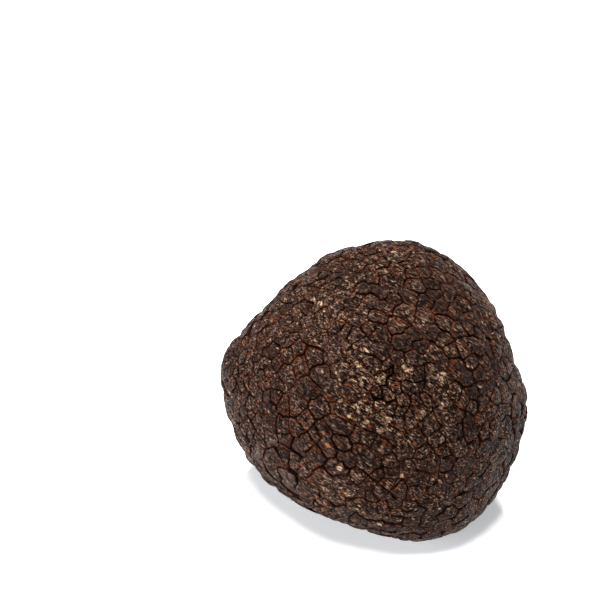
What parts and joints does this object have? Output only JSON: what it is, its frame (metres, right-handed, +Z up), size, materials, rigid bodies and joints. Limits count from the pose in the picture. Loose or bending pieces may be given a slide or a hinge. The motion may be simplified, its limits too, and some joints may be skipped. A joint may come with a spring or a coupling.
{
  "type": "black truffle",
  "caption": "Whole black truffle, a knobbly round tuber with a warty cracked dark rind, lying on a small flat spot as a food or set-dressing prop.",
  "frame": {"origin": "on the surface it rests on, under the middle of the truffle's box", "axes": "+Z up, away from the rest spot; -Y towards the front, the side with the shallow dimple; +X to the right as seen from the front"},
  "size_m": [0.0614, 0.0612, 0.0541],
  "materials": {
    "rind": "dull, dry and warty, dark umber with rust-brown cracks and small tan scuffs"
  },
  "bodies": {
    "root": {"truffle": "rind"}
  },
  "joints": []
}
